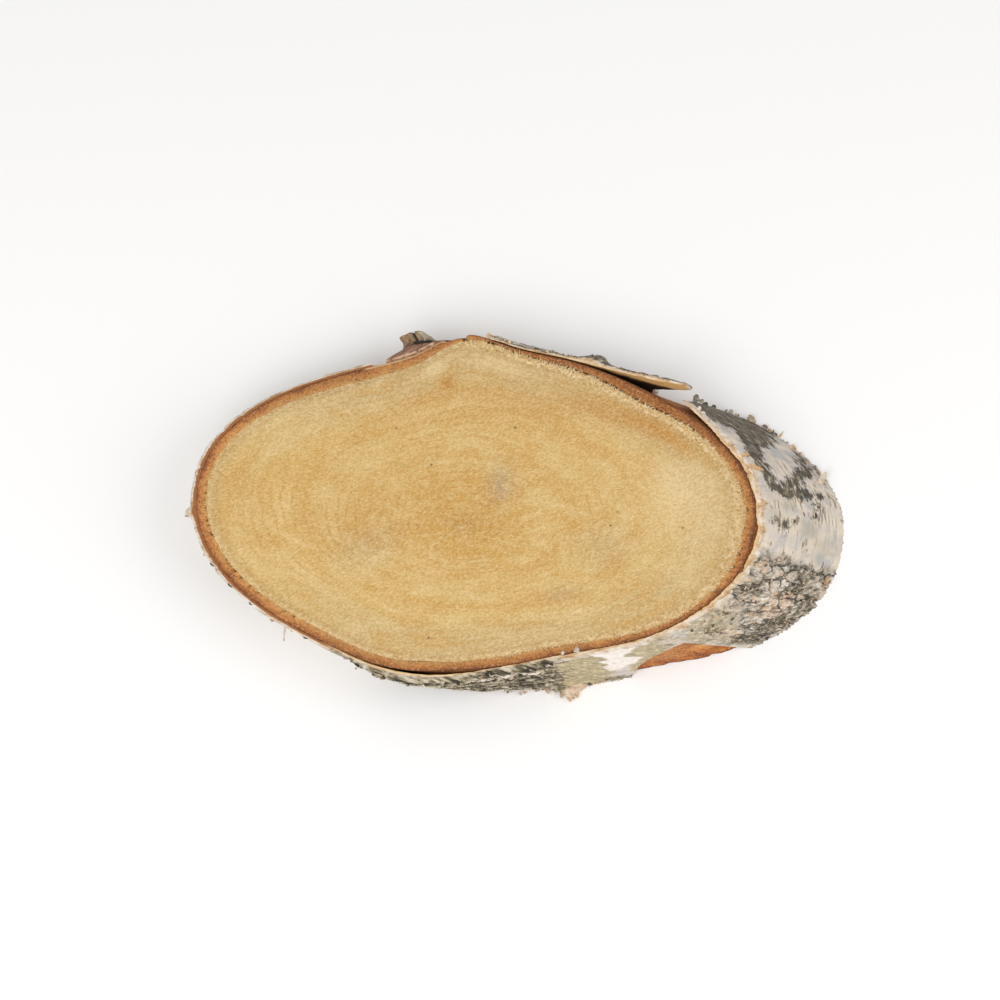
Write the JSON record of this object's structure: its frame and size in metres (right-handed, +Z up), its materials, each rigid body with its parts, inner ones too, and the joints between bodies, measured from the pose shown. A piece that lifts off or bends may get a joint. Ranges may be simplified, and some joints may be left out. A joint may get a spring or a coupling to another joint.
{
  "type": "birch wood slice",
  "caption": "Oval slice sawn at a slant from a birch trunk, with flat faces, leaning papery bark, a lifted bark flap and a broken branch stub. Lies flat as a display base or trivet.",
  "frame": {"origin": "under the middle of the whole slice's outline, on the surface that it rests on", "axes": "+X along the longest side, the way the trunk leans going down; +Z up, square to both sawn faces"},
  "size_m": [0.172, 0.0998, 0.018],
  "materials": {
    "wood": "rough sawn, honey-coloured, with felt-like raised grain",
    "inner_bark": "rust-brown, granular and matt",
    "outer_bark": "white papery bark with lichen and dark rough plates",
    "branch_stub": "weathered, broken and dark"
  },
  "bodies": {
    "root": {"wood": "wood", "inner_bark": "inner_bark", "outer_bark": "outer_bark", "branch_stub": "branch_stub"}
  },
  "joints": []
}
